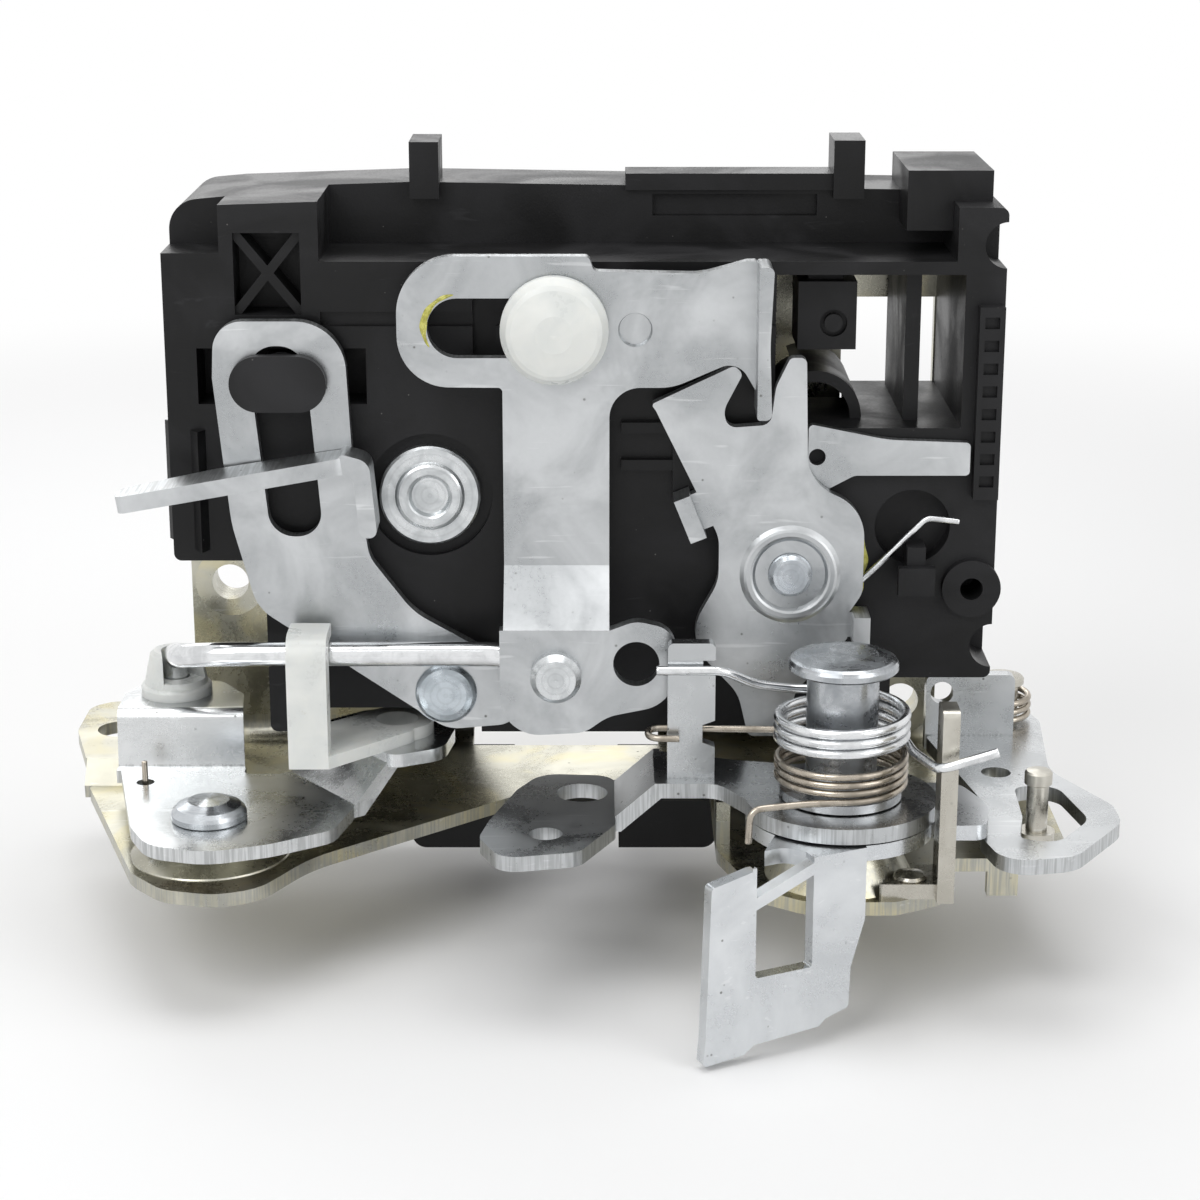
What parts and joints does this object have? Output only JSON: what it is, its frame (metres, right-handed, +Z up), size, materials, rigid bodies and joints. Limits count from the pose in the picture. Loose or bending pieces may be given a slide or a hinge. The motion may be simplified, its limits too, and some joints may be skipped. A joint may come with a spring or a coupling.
{
  "type": "door latch actuator",
  "caption": "Side door latch with striker mouth, black plastic case, zinc plated levers, link rod and torsion springs on an L shaped base plate.",
  "frame": {"origin": "door corner datum: centre line of the striker mouth, where the outer face of the faceplate meets the underside of the base plate", "axes": "+X right along the faceplate, +Y outward through the faceplate toward the striker side of the door edge, +Z up the faceplate away from the base plate"},
  "size_m": [0.1427, 0.0816, 0.1056],
  "materials": {
    "yellow_zinc": "clear to pale yellow zinc plating, semi bright",
    "zinc": "bright zinc plating, fine grain",
    "black_plastic": "moulded black, light texture",
    "white_nylon": "natural white moulded",
    "bright_steel": "bright drawn wire",
    "spring_wire": "bright spring wire",
    "bronze_wire": "dull bronze toned spring wire",
    "pin_steel": "turned, grey zinc plating",
    "gold_zinc": "yellow chromate",
    "nickel": "warm grey plating"
  },
  "bodies": {
    "case": {"base_plate": "yellow_zinc", "housing": "black_plastic", "striker_guide": "black_plastic", "claw_rivet": "zinc", "claw_spring": "spring_wire", "pawl_spring": "spring_wire", "guide_knob": "white_nylon", "slotted_lever_rivet": "zinc", "crank_rivet": "zinc", "crank_spacer": "gold_zinc", "crank_spring": "bronze_wire", "main_pin": "pin_steel", "spring_washer": "pin_steel", "upper_spring": "spring_wire", "lower_spring": "bronze_wire", "stop_bracket": "nickel", "bracket_rivet": "nickel", "stop_pin": "nickel", "return_post": "nickel", "return_spring": "bronze_wire"},
    "claw_body": {"claw": "black_plastic"},
    "pawl_body": {"pawl": "zinc", "pawl_shaft": "zinc", "pawl_lever": "zinc"},
    "crank_body": {"bell_crank": "zinc", "rod_bushing": "white_nylon", "rod_clip": "white_nylon"},
    "rod_body": {"link_rod": "bright_steel"},
    "t_body": {"t_lever": "zinc", "rod_retainer": "zinc"},
    "slotted_body": {"slotted_lever": "zinc"},
    "slider_body": {"lock_slider": "black_plastic"},
    "release_body": {"release_lever": "zinc"},
    "paddle_body": {"paddle_lever": "zinc"},
    "right_body": {"right_lever": "zinc"},
    "link_body": {"lock_link": "bright_steel"},
    "block_body": {"window_block": "black_plastic"}
  },
  "joints": [
    {"name": "claw_turn", "type": "hinge", "parent": "case", "child": "claw_body", "pos_m": [-0.0174, -0.007, 0.046], "axis": [0, -1, 0], "range_deg": [0, 48], "stiffness_Nm_per_rad": 0.05, "deforming": ["claw_spring"]},
    {"name": "pawl_turn", "type": "hinge", "parent": "case", "child": "pawl_body", "pos_m": [0.03, -0.02, 0.0362], "axis": [0, 1, 0], "range_deg": [0, 13], "stiffness_Nm_per_rad": 0.05, "deforming": ["pawl_spring"]},
    {"name": "crank_turn", "type": "hinge", "parent": "case", "child": "crank_body", "pos_m": [-0.046, -0.0473, 0.0055], "axis": [0, 0, -1], "range_deg": [0, 12], "stiffness_Nm_per_rad": 0.05, "deforming": ["crank_spring"]},
    {"name": "rod_turn", "type": "hinge", "parent": "crank_body", "child": "rod_body", "pos_m": [-0.0541, -0.019, 0.017], "axis": [0, 0, -1], "range_deg": [-12, 0]},
    {"name": "t_slide", "type": "slide", "parent": "case", "child": "t_body", "axis": [1, 0, 0], "range_m": [0, 0.0061]},
    {"name": "slotted_turn", "type": "hinge", "parent": "case", "child": "slotted_body", "pos_m": [-0.0155, -0.0346, 0.0197], "axis": [0, -1, 0], "range_deg": [-6, 3]},
    {"name": "slider_slide", "type": "slide", "parent": "case", "child": "slider_body", "axis": [1, 0, 0], "range_m": [-0.0024, 0.0048]},
    {"name": "release_turn", "type": "hinge", "parent": "case", "child": "release_body", "pos_m": [0.0356, -0.0544, 0.0113], "axis": [0, 0, 1], "range_deg": [0, 18], "stiffness_Nm_per_rad": 0.05, "deforming": ["upper_spring", "lower_spring"]},
    {"name": "paddle_turn", "type": "hinge", "parent": "case", "child": "paddle_body", "pos_m": [0.0356, -0.0544, 0.009], "axis": [0, 0, 1], "range_deg": [0, 12], "stiffness_Nm_per_rad": 0.05, "deforming": ["lower_spring"]},
    {"name": "right_turn", "type": "hinge", "parent": "case", "child": "right_body", "pos_m": [0.0623, -0.0108, 0.0066], "axis": [0, 0, 1], "range_deg": [-4.5, 0], "stiffness_Nm_per_rad": 0.05, "deforming": ["return_spring"]},
    {"name": "link_slide", "type": "slide", "parent": "case", "child": "link_body", "axis": [1, 0, 0], "range_m": [-0.004, 0]},
    {"name": "block_slide", "type": "slide", "parent": "case", "child": "block_body", "axis": [1, 0, 0], "range_m": [0, 0.005]}
  ],
  "couplings": [
    {"joint": "rod_turn", "follows": "crank_turn", "ratio": -1},
    {"joint": "t_slide", "follows": "crank_turn", "m_per_rad": 0.02903},
    {"joint": "pawl_turn", "follows": "crank_turn", "ratio": 1.075},
    {"joint": "slider_slide", "follows": "slotted_turn", "m_per_rad": -0.0443}
  ]
}
